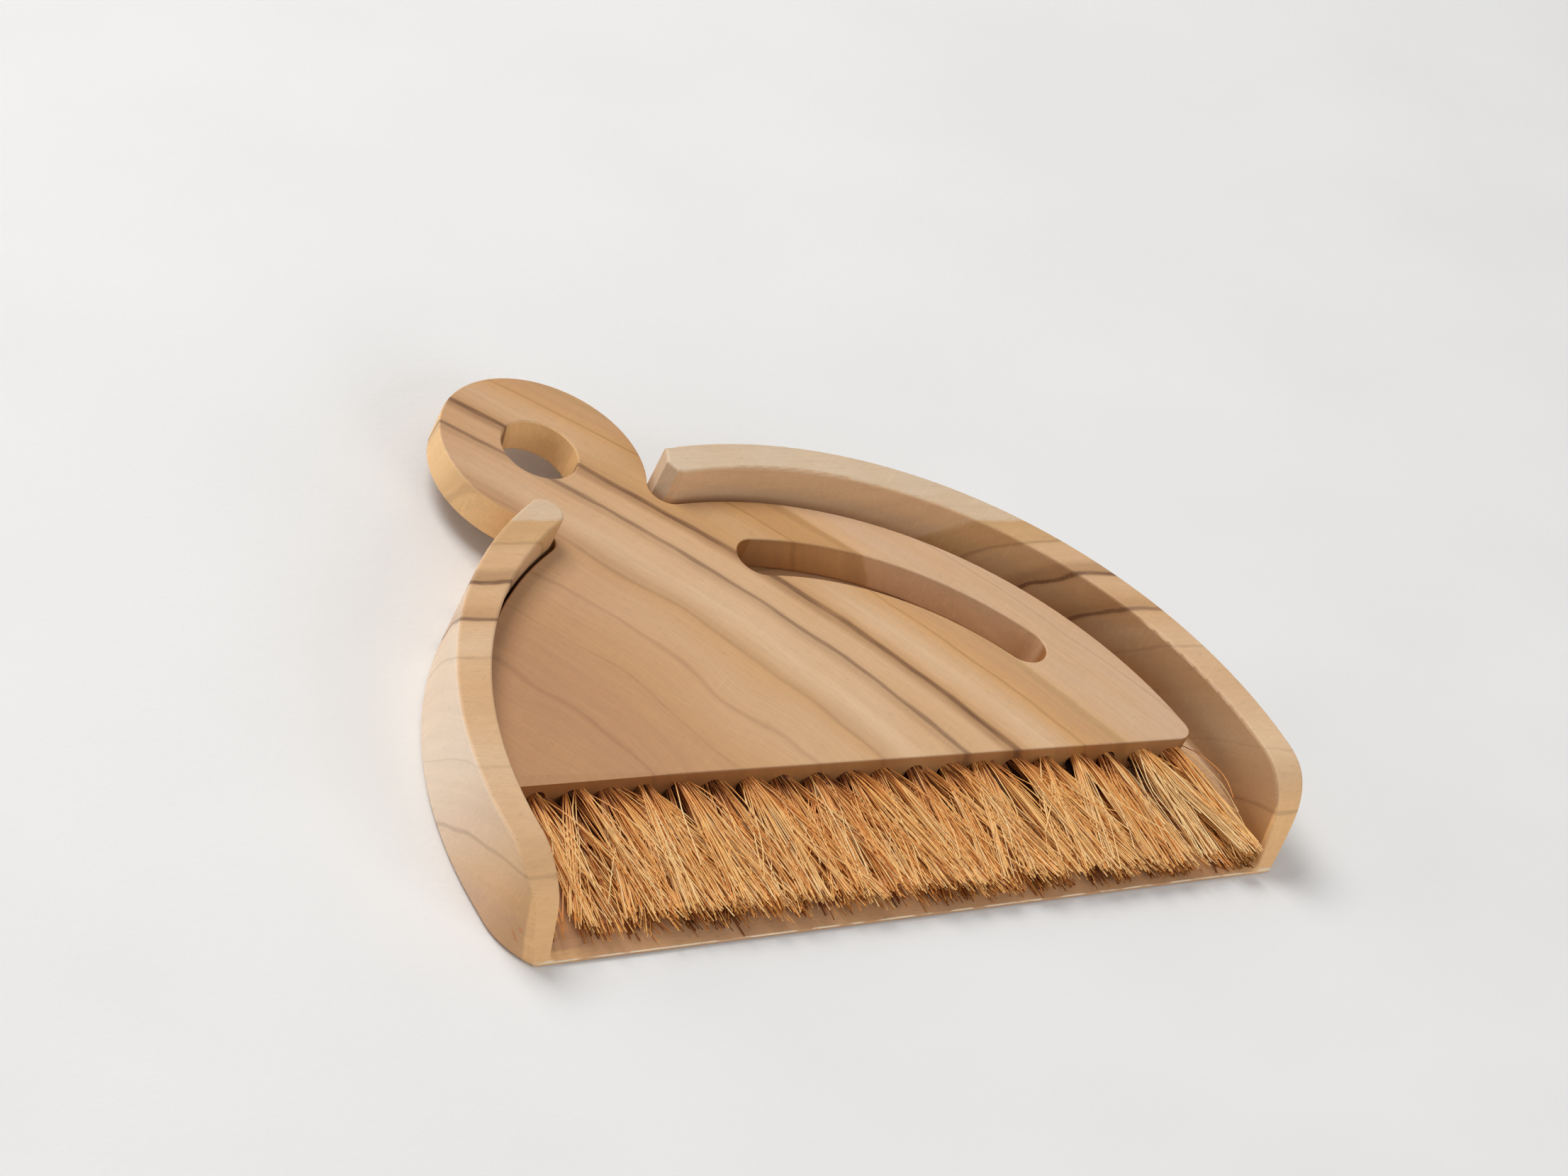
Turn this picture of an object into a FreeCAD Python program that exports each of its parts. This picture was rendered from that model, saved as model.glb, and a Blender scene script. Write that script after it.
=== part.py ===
"""A teak dustpan with its hand brush lying in it, in millimetres, +Z up.

The dustpan is a flat D-shaped tray carved from one board. The brush is a flat board with one row
of coir tufts in its front edge, and its neck passes through a gap in the dustpan's rim.

The pieces are drawn with the middle of the dustpan's front lip at the origin, and +Y towards the
round side. They are then moved so that the middle of the whole object's footprint is the origin.
"""

import FreeCAD, Part
import os
from math import acos, asin, atan2, cos, degrees, hypot, pi, radians, sin, sqrt, tan

Vector = FreeCAD.Vector
UP = Vector(0, 0, 1)

# Dustpan: the round side of the tray is a half circle, and its front is straight.
PAN_RADIUS = 119.2
PAN_CENTRE_Y = 21.1
PAN_HEIGHT = 25.5
RIM_WIDTH = 9.2
FLOOR_THICKNESS = 6.2
TRAY_FILLET = 1.5
RIM_EDGE_RADIUS = 0.9
PAN_FOOT_RADIUS = 1.0
# The front corners, where the sides turn in to the ends of the lip.
LIP_HALF_WIDTH = 112.8
CORNER_BACK_Y = 15.0
# The front, seen from the side: lip, bevel, ramp, and the rim's rounded front end.
LIP_THICKNESS = 0.9
BEVEL_DEPTH = 5.0
BEVEL_HEIGHT = 2.2
RAMP_DEPTH = 28.0
RIM_FRONT_RADIUS = 17.0
RIM_LEVEL_Y = 20.0
# The gap in the rim: a rounded tip on its left and a faceted end on its right.
LEFT_TIP_ANGLE = 29.8
# Each corner of the right end: how far in from the rim's outer face, and its angle.
RIGHT_END = ((0.0, -5.2), (4.7, -6.4), (8.3, -5.8), (RIM_WIDTH, -5.0))

# Brush block, drawn about the centre of its back curve.
BLOCK_RADIUS = 105.4
BLOCK_THICKNESS = 10.4
BLOCK_FRONT = 14.3
BLOCK_CORNER_RADIUS = 4.0
BLOCK_TOP_RADIUS = 0.5
BLOCK_FOOT_RADIUS = 1.3
# A flat sanded on the left half of the front top edge, widest at the left end.
FLAT_WIDTH = 3.2
FLAT_DEPTH = 0.9
FLAT_END_X = 8.0
HANDLE_ANGLE = 18.1
HEAD_RADIUS = 28.0
HEAD_DISTANCE = 130.8
NECK_FILLET = 5.5
HOLE_RADIUS = 10.4
HOLE_DISTANCE = 132.4
SLOT_WIDTH = 12.8
SLOT_RADIUS = 85.2
SLOT_START_ANGLE = 3.7
SLOT_END_ANGLE = 54.0
# Where the block lies in the tray.
BLOCK_CENTRE = (-3.9, 22.9)
BLOCK_TURN = -2.3
BLOCK_LIFT = 0.1

# Tufts, in one row along the block's front edge.
TUFT_COUNT = 20
TUFT_PITCH = 10.0
FIRST_TUFT_X = -92.2
TUFT_RADIUS = 2.6
TUFT_CLEARANCE = 0.05
TUFT_BELOW_TOP = 5.8
TUFT_HOLE_DEPTH = 12.0
TUFT_MIDDLE = 16.0
TUFT_MIDDLE_HALF = (3.9, 2.7)
TUFT_MIDDLE_DROP = 1.3
TUFT_TIP_HALF = (4.7, 2.5)
# These three change evenly from the tuft at the left end to the one at the right end.
TUFT_LENGTH = (34.6, 31.0)
TUFT_TIP_DROP = (5.3, 6.0)
TUFT_LEAN = (1.0, 14.0)

# Wire staples: a cross bar through the fold of each tuft and two legs into the wood.
STAPLE_WIRE_RADIUS = 0.35
STAPLE_HALF_WIDTH = 1.5
STAPLE_BAR_DEPTH = 10.8
STAPLE_LEG_LENGTH = 5.0


def polar(centre, radius, angle):
    """The point at this angle in degrees, clockwise from +Y, seen from above."""
    turn = radians(angle)
    return Vector(centre[0] + radius * sin(turn), centre[1] + radius * cos(turn), 0)


def arc(start, middle, end):
    return Part.Arc(start, middle, end).toShape()


def line(start, end):
    return Part.LineSegment(start, end).toShape()


def polyline(points):
    return [line(a, b) for a, b in zip(points, points[1:])]


def prism(edges, height, low=0.0):
    """A solid with this outline, from low upwards."""
    face = Part.Face(Part.Wire(Part.__sortEdges__(edges)))
    face.translate(Vector(0, 0, low))
    return face.extrude(Vector(0, 0, height))


def side_prism(points_and_arcs, half_width):
    """A solid with this outline in the YZ plane, from -half_width to half_width along X."""
    face = Part.Face(Part.Wire(Part.__sortEdges__(points_and_arcs)))
    face.translate(Vector(-half_width, 0, 0))
    return face.extrude(Vector(2 * half_width, 0, 0))


def side_point(y, z):
    return Vector(0, y, z)


def edges_where(shape, test):
    return [edge for edge in shape.Edges if test(edge)]


def lies_at(edge, z):
    return all(abs(v.Z - z) < 1e-4 for v in edge.Vertexes) and abs(edge.CenterOfMass.z - z) < 1e-4


# The dustpan


def tray_outline(inset):
    """The D-shaped outline, this far inside the dustpan's outer edge. Its front is at y = 0."""
    radius = PAN_RADIUS - inset
    lip = LIP_HALF_WIDTH - inset * 0.55
    back = Vector(0, PAN_CENTRE_Y + radius, 0)
    edges = []
    for side in (-1, 1):
        shoulder = Vector(side * radius, PAN_CENTRE_Y, 0)
        turn = Vector(side * radius, CORNER_BACK_Y, 0)
        corner = Vector(side * lip, 0, 0)
        eighth = polar((0, PAN_CENTRE_Y), radius, side * 45)
        edges.append(arc(back, eighth, shoulder))
        edges.append(line(shoulder, turn))
        # A curve that leaves the side tangentially and ends at the lip's corner.
        bend = ((radius - lip) ** 2 + CORNER_BACK_Y**2) / (2 * (radius - lip))
        half = asin(CORNER_BACK_Y / bend) / 2
        halfway = Vector(side * (radius - bend * (1 - cos(half))), CORNER_BACK_Y - bend * sin(half), 0)
        edges.append(arc(turn, halfway, corner))
    edges.append(line(Vector(-lip, 0, 0), Vector(lip, 0, 0)))
    return edges


def rim_front_cutter():
    """What is cut away in front of and above the rim, whose front slopes up from the lip and rounds over."""
    clear = 10.0
    centre_z = PAN_HEIGHT - RIM_FRONT_RADIUS
    to_lip = hypot(RIM_LEVEL_Y, centre_z - LIP_THICKNESS)
    # The slope touches the rounding where it makes a right angle with the radius.
    low_angle = atan2(centre_z - LIP_THICKNESS, RIM_LEVEL_Y)
    touch_angle = acos(RIM_FRONT_RADIUS / to_lip) - low_angle
    half_angle = (touch_angle + pi / 2) / 2

    def on_rounding(angle):
        return side_point(RIM_LEVEL_Y - RIM_FRONT_RADIUS * cos(angle), centre_z + RIM_FRONT_RADIUS * sin(angle))

    top = on_rounding(pi / 2)
    edges = [arc(on_rounding(touch_angle), on_rounding(half_angle), top)]
    edges += polyline([
        top,
        side_point(RIM_LEVEL_Y, PAN_HEIGHT + clear),
        side_point(-clear, PAN_HEIGHT + clear),
        side_point(-clear, LIP_THICKNESS),
        side_point(0, LIP_THICKNESS),
        on_rounding(touch_angle),
    ])
    return side_prism(edges, PAN_RADIUS + clear)


def tray_pocket():
    """The hollow of the tray: level floor, ramp and bevel, inside the rim's inner wall."""
    clear = 10.0
    above = side_prism(polyline([
        side_point(-clear, LIP_THICKNESS),
        side_point(0, LIP_THICKNESS),
        side_point(BEVEL_DEPTH, BEVEL_HEIGHT),
        side_point(RAMP_DEPTH, FLOOR_THICKNESS),
        side_point(PAN_CENTRE_Y + PAN_RADIUS, FLOOR_THICKNESS),
        side_point(PAN_CENTRE_Y + PAN_RADIUS, PAN_HEIGHT + clear),
        side_point(-clear, PAN_HEIGHT + clear),
        side_point(-clear, LIP_THICKNESS),
    ]), PAN_RADIUS)
    inside = prism(tray_outline(RIM_WIDTH), PAN_HEIGHT + 2 * clear, -clear)
    pocket = above.common(inside).Solids[0]
    return pocket.makeFillet(TRAY_FILLET, edges_where(pocket, runs_along_wall_foot))


def runs_along_wall_foot(edge):
    """Whether this edge of the tray's hollow is where its bottom meets the rim's inner wall."""
    ends = [v.Point for v in edge.Vertexes]
    low = max(end.z for end in ends) < FLOOR_THICKNESS + 0.01
    across = abs(ends[0].x + ends[-1].x) < 0.01 and abs(ends[0].y - ends[-1].y) < 0.01
    return low and not across


def rim_gap_cutter():
    """The gap in the rim, above the tray's floor, where the brush's neck passes."""
    centre = (0, PAN_CENTRE_Y)
    middle = PAN_RADIUS - RIM_WIDTH / 2
    tip = polar(centre, middle, -LEFT_TIP_ANGLE)
    half = RIM_WIDTH / 2
    tip_turn = radians(LEFT_TIP_ANGLE)
    along = Vector(cos(tip_turn), sin(tip_turn), 0)
    tip_out = polar(centre, PAN_RADIUS, -LEFT_TIP_ANGLE)
    tip_in = polar(centre, PAN_RADIUS - RIM_WIDTH, -LEFT_TIP_ANGLE)
    beyond, within = PAN_RADIUS + 10, PAN_RADIUS - RIM_WIDTH - 5
    right_end = [polar(centre, PAN_RADIUS - inset, angle) for inset, angle in RIGHT_END]
    right_angle, inner_angle = RIGHT_END[0][1], RIGHT_END[-1][1]
    edges = [arc(tip_out, tip + along * half, tip_in)]
    edges += polyline([tip_out, polar(centre, beyond, -LEFT_TIP_ANGLE)])
    edges.append(arc(polar(centre, beyond, -LEFT_TIP_ANGLE),
                     polar(centre, beyond, (right_angle - LEFT_TIP_ANGLE) / 2),
                     polar(centre, beyond, right_angle)))
    edges += polyline([polar(centre, beyond, right_angle), *right_end, polar(centre, within, inner_angle)])
    edges.append(arc(polar(centre, within, inner_angle),
                     polar(centre, within, (inner_angle - LEFT_TIP_ANGLE) / 2),
                     polar(centre, within, -LEFT_TIP_ANGLE)))
    edges += polyline([polar(centre, within, -LEFT_TIP_ANGLE), tip_in])
    return prism(edges, PAN_HEIGHT, FLOOR_THICKNESS)


def make_dustpan():
    board = prism(tray_outline(0), PAN_HEIGHT)
    carved = board.cut(rim_front_cutter()).cut(tray_pocket()).cut(rim_gap_cutter()).Solids[0]
    foot = edges_where(carved, lambda e: lies_at(e, 0) and e.CenterOfMass.y > 1)
    carved = carved.makeFillet(PAN_FOOT_RADIUS, foot)
    level_starts = RIM_LEVEL_Y + 0.01
    top = edges_where(carved, lambda e: lies_at(e, PAN_HEIGHT) and e.CenterOfMass.y > level_starts)
    return carved.makeFillet(RIM_EDGE_RADIUS, top)


# The brush block


def circles_meet(first, first_radius, second, second_radius, side):
    """Where two circles cross: the crossing on this side of the line between their centres."""
    across = second - first
    gap = across.Length
    along = (gap**2 + first_radius**2 - second_radius**2) / (2 * gap)
    away = sqrt(first_radius**2 - along**2)
    across.normalize()
    return first + across * along + Vector(across.y, -across.x, 0) * away * side


def block_outline():
    """The block's outline about the centre of its back curve, with the head on its slanting axis."""
    centre = Vector(0, 0, 0)
    head = polar((0, 0), HEAD_DISTANCE, -HANDLE_ANGLE)
    edges = []
    neck_ends = {}
    for side in (-1, 1):
        fillet = circles_meet(centre, BLOCK_RADIUS + NECK_FILLET, head, HEAD_RADIUS + NECK_FILLET, side)
        on_block = fillet * (BLOCK_RADIUS / (BLOCK_RADIUS + NECK_FILLET))
        to_head = (head - fillet).normalize()
        on_head = fillet + to_head * NECK_FILLET
        inward = (polar((0, 0), fillet.Length, -HANDLE_ANGLE) - fillet).normalize()
        edges.append(arc(on_block, fillet + inward * NECK_FILLET, on_head))
        neck_ends[side] = (on_block, on_head)
    head_top = polar((0, 0), HEAD_DISTANCE + HEAD_RADIUS, -HANDLE_ANGLE)
    edges.append(arc(neck_ends[-1][1], head_top, neck_ends[1][1]))
    # The front corners are rounded where the back curve meets the straight front.
    corner_y = BLOCK_FRONT + BLOCK_CORNER_RADIUS
    corner_x = sqrt((BLOCK_RADIUS - BLOCK_CORNER_RADIUS)**2 - corner_y**2)
    for side in (-1, 1):
        corner = Vector(side * corner_x, corner_y, 0)
        outward = Vector(corner).normalize()
        on_curve = corner + outward * BLOCK_CORNER_RADIUS
        on_front = Vector(corner.x, BLOCK_FRONT, 0)
        between = (outward + Vector(0, -1, 0)).normalize()
        edges.append(arc(on_curve, corner + between * BLOCK_CORNER_RADIUS, on_front))
        start = degrees(atan2(on_curve.x, on_curve.y))
        end_point = neck_ends[side][0]
        end = degrees(atan2(end_point.x, end_point.y))
        edges.append(arc(on_curve, polar((0, 0), BLOCK_RADIUS, (start + end) / 2), end_point))
    edges.append(line(Vector(-corner_x, BLOCK_FRONT, 0), Vector(corner_x, BLOCK_FRONT, 0)))
    return edges


def slot_outline():
    """The curved finger slot, which follows the block's back curve and has round ends."""
    edges = []
    half = SLOT_WIDTH / 2
    middle = (SLOT_START_ANGLE + SLOT_END_ANGLE) / 2
    for radius in (SLOT_RADIUS - half, SLOT_RADIUS + half):
        edges.append(arc(*[polar((0, 0), radius, a) for a in (SLOT_START_ANGLE, middle, SLOT_END_ANGLE)]))
    for angle, way in ((SLOT_START_ANGLE, -1), (SLOT_END_ANGLE, 1)):
        round_end = polar((0, 0), SLOT_RADIUS, angle) + polar((0, 0), half, angle + 90 * way)
        edges.append(arc(polar((0, 0), SLOT_RADIUS - half, angle), round_end,
                         polar((0, 0), SLOT_RADIUS + half, angle)))
    return edges


def tuft_places():
    """The middle of each tuft hole on the front face, from the left."""
    height = BLOCK_THICKNESS - TUFT_BELOW_TOP
    return [Vector(FIRST_TUFT_X + i * TUFT_PITCH, BLOCK_FRONT, height) for i in range(TUFT_COUNT)]


def place_brush(shape):
    """Moves a brush piece from the block's own place to where it lies in the tray."""
    shape.rotate(Vector(0, 0, 0), UP, BLOCK_TURN)
    shape.translate(Vector(*BLOCK_CENTRE, FLOOR_THICKNESS + BLOCK_LIFT))
    return shape


def make_brush_block():
    block = prism(block_outline(), BLOCK_THICKNESS)
    hole = Part.makeCylinder(HOLE_RADIUS, BLOCK_THICKNESS)
    hole.translate(polar((0, 0), HOLE_DISTANCE, -HANDLE_ANGLE))
    block = block.cut(hole).cut(prism(slot_outline(), BLOCK_THICKNESS))
    block = block.makeFillet(BLOCK_TOP_RADIUS, edges_where(block, lambda e: lies_at(e, BLOCK_THICKNESS)))
    block = block.makeFillet(BLOCK_FOOT_RADIUS, edges_where(block, lambda e: lies_at(e, 0)))
    return block.cut(sanded_flat_cutter()).Solids[0]


def sanded_flat_cutter():
    """A thin wedge over the left half of the block's front top edge."""
    left = -BLOCK_RADIUS
    clear = 3.0
    # The cut's slope, carried on past the front face and above the top face.
    low = Vector(left, BLOCK_FRONT - clear, BLOCK_THICKNESS - FLAT_DEPTH * (1 + clear / FLAT_WIDTH))
    high = Vector(left, BLOCK_FRONT + FLAT_WIDTH, BLOCK_THICKNESS)
    above = Vector(left, BLOCK_FRONT - clear, BLOCK_THICKNESS)
    end = Vector(FLAT_END_X, BLOCK_FRONT - clear * FLAT_DEPTH, BLOCK_THICKNESS)
    corners = ((low, high, above), (low, high, end), (low, above, end), (high, above, end))
    faces = [Part.Face(Part.makePolygon([*three, three[0]])) for three in corners]
    return Part.Solid(Part.Shell(faces))


def make_staple(place):
    """A wire staple whose bar crosses the tuft's fold, with two legs into the wood behind."""
    bar_y = place.y + STAPLE_BAR_DEPTH
    left = Vector(place.x - STAPLE_HALF_WIDTH, bar_y, place.z)
    right = Vector(place.x + STAPLE_HALF_WIDTH, bar_y, place.z)
    back = Vector(0, STAPLE_LEG_LENGTH, 0)
    bar = Part.makeCylinder(STAPLE_WIRE_RADIUS, 2 * STAPLE_HALF_WIDTH, left, Vector(1, 0, 0))
    staple = bar
    for corner in (left, right):
        leg = Part.makeCylinder(STAPLE_WIRE_RADIUS, back.Length, corner, back)
        staple = staple.fuse(leg).fuse(Part.makeSphere(STAPLE_WIRE_RADIUS, corner))
    return staple.removeSplitter().Solids[0]


def oval(middle, half_x, half_z):
    """An oval across Y, at least as wide as it is high."""
    if half_x > half_z:
        shape = Part.Ellipse(Vector(0, 0, 0), half_x, half_z).toShape()
    else:
        shape = Part.Circle(Vector(0, 0, 0), UP, half_x).toShape()
    shape.rotate(Vector(0, 0, 0), Vector(1, 0, 0), 90)
    shape.translate(middle)
    return Part.Wire([shape])


def along_row(ends, share):
    """A value that changes evenly from the row's left end, at 0, to its right end, at 1."""
    return ends[0] + (ends[1] - ends[0]) * share


def make_tuft(place, share, staple):
    """One tuft: its round root in the hole, then a bundle that widens, leans and droops."""
    lean = tan(radians(along_row(TUFT_LEAN, share)))

    def station(out, drop):
        return Vector(place.x + out * lean, place.y - out, place.z - drop)

    sections = [
        oval(place + Vector(0, TUFT_HOLE_DEPTH - TUFT_CLEARANCE, 0), TUFT_RADIUS, TUFT_RADIUS),
        oval(place, TUFT_RADIUS, TUFT_RADIUS),
        oval(station(TUFT_MIDDLE, TUFT_MIDDLE_DROP), *TUFT_MIDDLE_HALF),
        oval(station(along_row(TUFT_LENGTH, share), along_row(TUFT_TIP_DROP, share)), *TUFT_TIP_HALF),
    ]
    return Part.makeLoft(sections, True, True).cut(staple).Solids[0]


def make_all():
    """Every piece of the object by its node name."""
    places = tuft_places()
    staples = [make_staple(place) for place in places]
    block = make_brush_block()
    for place, staple in zip(places, staples):
        hole = Part.makeCylinder(TUFT_RADIUS + TUFT_CLEARANCE, TUFT_HOLE_DEPTH, place, Vector(0, 1, 0))
        block = block.cut(hole).cut(staple)
    pieces = {"dustpan": make_dustpan(), "brush_block": place_brush(block.Solids[0])}
    for i, place in enumerate(places):
        tuft = make_tuft(place, i / (TUFT_COUNT - 1), staples[i])
        pieces["tuft_%02d" % (i + 1)] = place_brush(tuft)
    pieces["tuft_staples"] = place_brush(Part.makeCompound(staples))
    return pieces


def main():
    pieces = make_all()
    whole = Part.makeCompound([pieces["dustpan"], pieces["brush_block"]]).optimalBoundingBox(False, False)
    to_middle = Vector(-(whole.XMin + whole.XMax) / 2, -(whole.YMin + whole.YMax) / 2, 0)
    os.makedirs("parts", exist_ok=True)
    print("moved by", to_middle, "size", whole.XLength, whole.YLength, whole.ZLength)
    for name, shape in pieces.items():
        shape.translate(to_middle)
        shape.exportStep("parts/%s.step" % name)
        print(name, len(shape.Solids), shape.isValid(), round(shape.Volume, 1))


if __name__ == "__main__":
    main()
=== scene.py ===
"""The looks of the teak dustpan and its coir hand brush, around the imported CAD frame. Metres, +Z up.

The dustpan and the brush block keep their CAD shapes and get teak materials. Each CAD tuft is
replaced by a bundle of separate coir fibres. The floor, the lights and the camera are last.
"""
import math
import random

import bpy
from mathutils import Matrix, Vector


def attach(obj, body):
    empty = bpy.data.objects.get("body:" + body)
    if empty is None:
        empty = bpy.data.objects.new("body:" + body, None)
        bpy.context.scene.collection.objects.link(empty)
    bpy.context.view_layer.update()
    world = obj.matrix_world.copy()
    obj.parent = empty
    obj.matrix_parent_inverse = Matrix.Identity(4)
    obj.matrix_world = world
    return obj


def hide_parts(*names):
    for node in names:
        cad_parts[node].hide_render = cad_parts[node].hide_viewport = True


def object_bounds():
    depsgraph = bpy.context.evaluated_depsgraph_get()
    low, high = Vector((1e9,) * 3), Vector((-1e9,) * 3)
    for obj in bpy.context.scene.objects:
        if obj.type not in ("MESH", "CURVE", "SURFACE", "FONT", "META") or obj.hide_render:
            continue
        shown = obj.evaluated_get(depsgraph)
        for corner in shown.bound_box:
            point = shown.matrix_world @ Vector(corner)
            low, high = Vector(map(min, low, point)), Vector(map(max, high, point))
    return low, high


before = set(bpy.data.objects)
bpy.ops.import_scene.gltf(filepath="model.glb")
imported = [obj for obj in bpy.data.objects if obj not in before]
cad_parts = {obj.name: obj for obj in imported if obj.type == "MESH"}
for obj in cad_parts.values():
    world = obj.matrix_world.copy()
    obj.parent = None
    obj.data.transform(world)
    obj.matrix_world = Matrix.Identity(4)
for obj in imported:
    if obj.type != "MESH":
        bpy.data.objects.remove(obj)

cad_low, cad_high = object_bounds()
MM = 0.001
MM_PER_M = 1000.0


# Node trees


class Graph:
    """The node tree of one material, with short ways to add to it."""

    def __init__(self, name):
        self.material = bpy.data.materials.new(name)
        self.material.use_nodes = True
        self.tree = self.material.node_tree
        self.shader = self.tree.nodes["Principled BSDF"]

    def node(self, kind, inputs=(), **settings):
        """Adds a node. Each input is a pair: the socket's name or number, and a value or a socket."""
        made = self.tree.nodes.new(kind)
        for key, value in settings.items():
            setattr(made, key, value)
        for key, value in inputs:
            if isinstance(value, bpy.types.NodeSocket):
                self.tree.links.new(value, made.inputs[key])
            else:
                made.inputs[key].default_value = value
        return made

    def math(self, operation, *values):
        return self.node("ShaderNodeMath", enumerate(values), operation=operation).outputs[0]

    def fold(self, operation, first, *others):
        """Joins two or more values with an operation such as MULTIPLY or MAXIMUM."""
        for other in others:
            first = self.math(operation, first, other)
        return first

    def split(self, vector):
        return self.node("ShaderNodeSeparateXYZ", [(0, vector)]).outputs

    def place_in_mm(self):
        """Where a point is on the object: x, y and z in mm."""
        place = self.node("ShaderNodeTexCoord").outputs["Object"]
        return [self.math("MULTIPLY", part, MM_PER_M) for part in self.split(place)]

    def noise(self, place, sizes, detail, roughness=0.5):
        """Smooth noise from about 0 to 1. sizes are its lumps' sizes in mm along the three coordinates."""
        scaled = [self.math("DIVIDE", part, size) for part, size in zip(place, sizes)]
        vector = self.node("ShaderNodeCombineXYZ", enumerate(scaled)).outputs[0]
        inputs = [("Vector", vector), ("Scale", 1.0), ("Detail", detail), ("Roughness", roughness)]
        return self.node("ShaderNodeTexNoise", inputs).outputs[0]

    def between(self, value, low, high, to_low=0.0, to_high=1.0):
        """Maps low..high of a value to to_low..to_high smoothly, and holds it outside."""
        inputs = [("Value", value), (1, low), (2, high), (3, to_low), (4, to_high)]
        return self.node("ShaderNodeMapRange", inputs, interpolation_type="SMOOTHSTEP").outputs[0]

    def ramp(self, value, stops):
        """A colour by value, from (place, sRGB colour) stops."""
        made = self.node("ShaderNodeValToRGB", [(0, value)])
        elements = made.color_ramp.elements
        while len(elements) < len(stops):
            elements.new(1.0)
        for element, (place, colour) in zip(elements, stops):
            element.position = place
            element.color = linear(colour)
        return made.outputs[0]

    def mix(self, share, first, second, blend="MIX"):
        """Mixes a share of the second colour, which is sRGB, into the first, which is a socket."""
        made = self.node("ShaderNodeMix", data_type="RGBA", blend_type=blend, clamp_factor=True)
        self.tree.links.new(share, made.inputs[0])
        self.tree.links.new(first, made.inputs[6])
        made.inputs[7].default_value = linear(second)
        return made.outputs[2]

    def scale_colour(self, colour, factor):
        """A colour made lighter or darker by a factor socket."""
        return self.node("ShaderNodeVectorMath", [(0, colour), (3, factor)], operation="SCALE").outputs[0]

    def surface(self, colour, roughness, height, depth, **uniform):
        """Links the colour, roughness and bump, and sets the shader's uniform values."""
        self.tree.links.new(colour, self.shader.inputs["Base Color"])
        self.tree.links.new(roughness, self.shader.inputs["Roughness"])
        bump = self.node("ShaderNodeBump", [("Strength", 1.0), ("Distance", depth), ("Height", height)])
        self.tree.links.new(bump.outputs[0], self.shader.inputs["Normal"])
        for key, value in uniform.items():
            self.shader.inputs[key].default_value = value
        return self.material


def linear(colour):
    """An sRGB colour of 0 to 255 as the shader's linear red, green, blue and alpha."""
    parts = [part / 255 for part in colour]
    return [part / 12.92 if part <= 0.04045 else ((part + 0.055) / 1.055) ** 2.4 for part in parts] + [1.0]


# Teak. Lengths are in mm, and colours are sRGB from 0 to 255.

# Painted highlight on the upright faces of the pan's left end, where bright light falls.
PAINTED_LIGHT_CREAM = (242, 231, 217)
SAPWOOD = (211, 187, 159)
PINK_TAN = (210, 175, 143)
SAP = (221, 187, 150)
TAN = (212, 172, 131)
YELLOW_TAN = (208, 160, 108)
# Painted warm bounce light on the pan's inner walls in the sapwood.
WALL_PAINTED_BOUNCE = (224, 181, 136)
HONEY = (205, 161, 115)
GOLD = (210, 160, 106)
NECK_GOLD = (190, 142, 88)
# Painted golden glow of bounced light on the rim's front ends.
END_PAINTED_GLOW = (238, 188, 130)
# Painted glow of light on the brush head's upright sides and in its hole.
HEAD_PAINTED_GLOW = (246, 200, 140)
OLIVE = (200, 160, 113)
BROWN = (197, 150, 109)
# Partly the wood's colour, partly painted shade from the left rim.
LEFT_BROWN_AND_SHADE = (180, 133, 94)
TEAR_BROWN = (204, 130, 74)
STREAK_BROWN = (94, 58, 38)
# Pale wear on the lip, also a painted highlight along its top edge.
WORN_AND_HIGHLIGHT = (240, 220, 190)
# These multiply the wood's colour: painted shade on the pan's inner side walls, and on the block's faces
# across the fibres both end grain and painted shade.
PAN_INNER_PAINTED_SHADE = (222, 214, 206)
BLOCK_END_GRAIN_AND_SHADE = (195, 166, 123)

# Most of a smooth noise lies in the first span, and nearly all of it in the second.
NOISE_SPAN = (0.3, 0.7)
WIDE_NOISE_SPAN = (0.2, 0.8)

# Sizes of the figure: across the growth rings, along the fibres, and up.
SLOW_WANDER_SIZE = (26, 55, 30)
QUICK_WANDER_SIZE = (6, 17, 9)
PATCH_SIZE = (17, 42, 25)
STREAK_FADE_SIZE = (9, 24, 16)
FIBRE_SIZE = (0.24, 7, 0.3)
GROWTH_SIZE = (1.6, 60, 40)
PORE_SIZE = (0.3, 2.8, 0.35)
# The size of a sanding mark: along it, across it, and up.
SANDING_SIZE = (14, 0.2, 4)
# Each thing comes in gradually between two values of its noise.
STREAK_FADE_NOISE = (0.3, 0.52)
STREAK_FIBRE_NOISE = (0.3, 0.6)
PATCH_NOISE = (0.4, 0.7)
FIBRE_NOISE = (0.25, 0.75)
PORE_NOISE = (0.64, 0.76)
SANDING_NOISE = (0.58, 0.74)

# How far the growth rings wander to each side.
SLOW_WANDER = 2.0
QUICK_WANDER = 1.3
# The directions of the sanding marks, in degrees.
SANDING_TURNS = (38, -52)
# A streak is darkest in the first share of its width. Where it fades or is broken, it keeps the second
# share of its darkness.
STREAK_CORE = 0.15
LEAST_STREAK = 0.7
# How strong a patch is at most, how dark and how light growth lines and fibres are, how much darker
# pores are, and how much lighter sanding marks.
MOST_PATCH = 0.35
GROWTH_SHADE = (0.965, 1.025)
FIBRE_SHADE = (0.96, 1.04)
PORE_DARK = 0.14
SANDING_LIGHT = 0.08
# The relief is this deep. Fibres stand up, and pores and sanding marks go in, by these shares of it.
RELIEF_DEPTH = 0.02
FIBRE_RELIEF = 0.5
PORE_RELIEF = 0.9
SANDING_RELIEF = 0.25
TEAK_ROUGHNESS = (0.46, 0.58)
PORE_ROUGHNESS = 0.1
TEAK_IOR = 1.45
# A face counts as upright while its normal points up or down by less than the first, and as level from
# the second on.
UPRIGHT = (0.4, 0.9)


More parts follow.
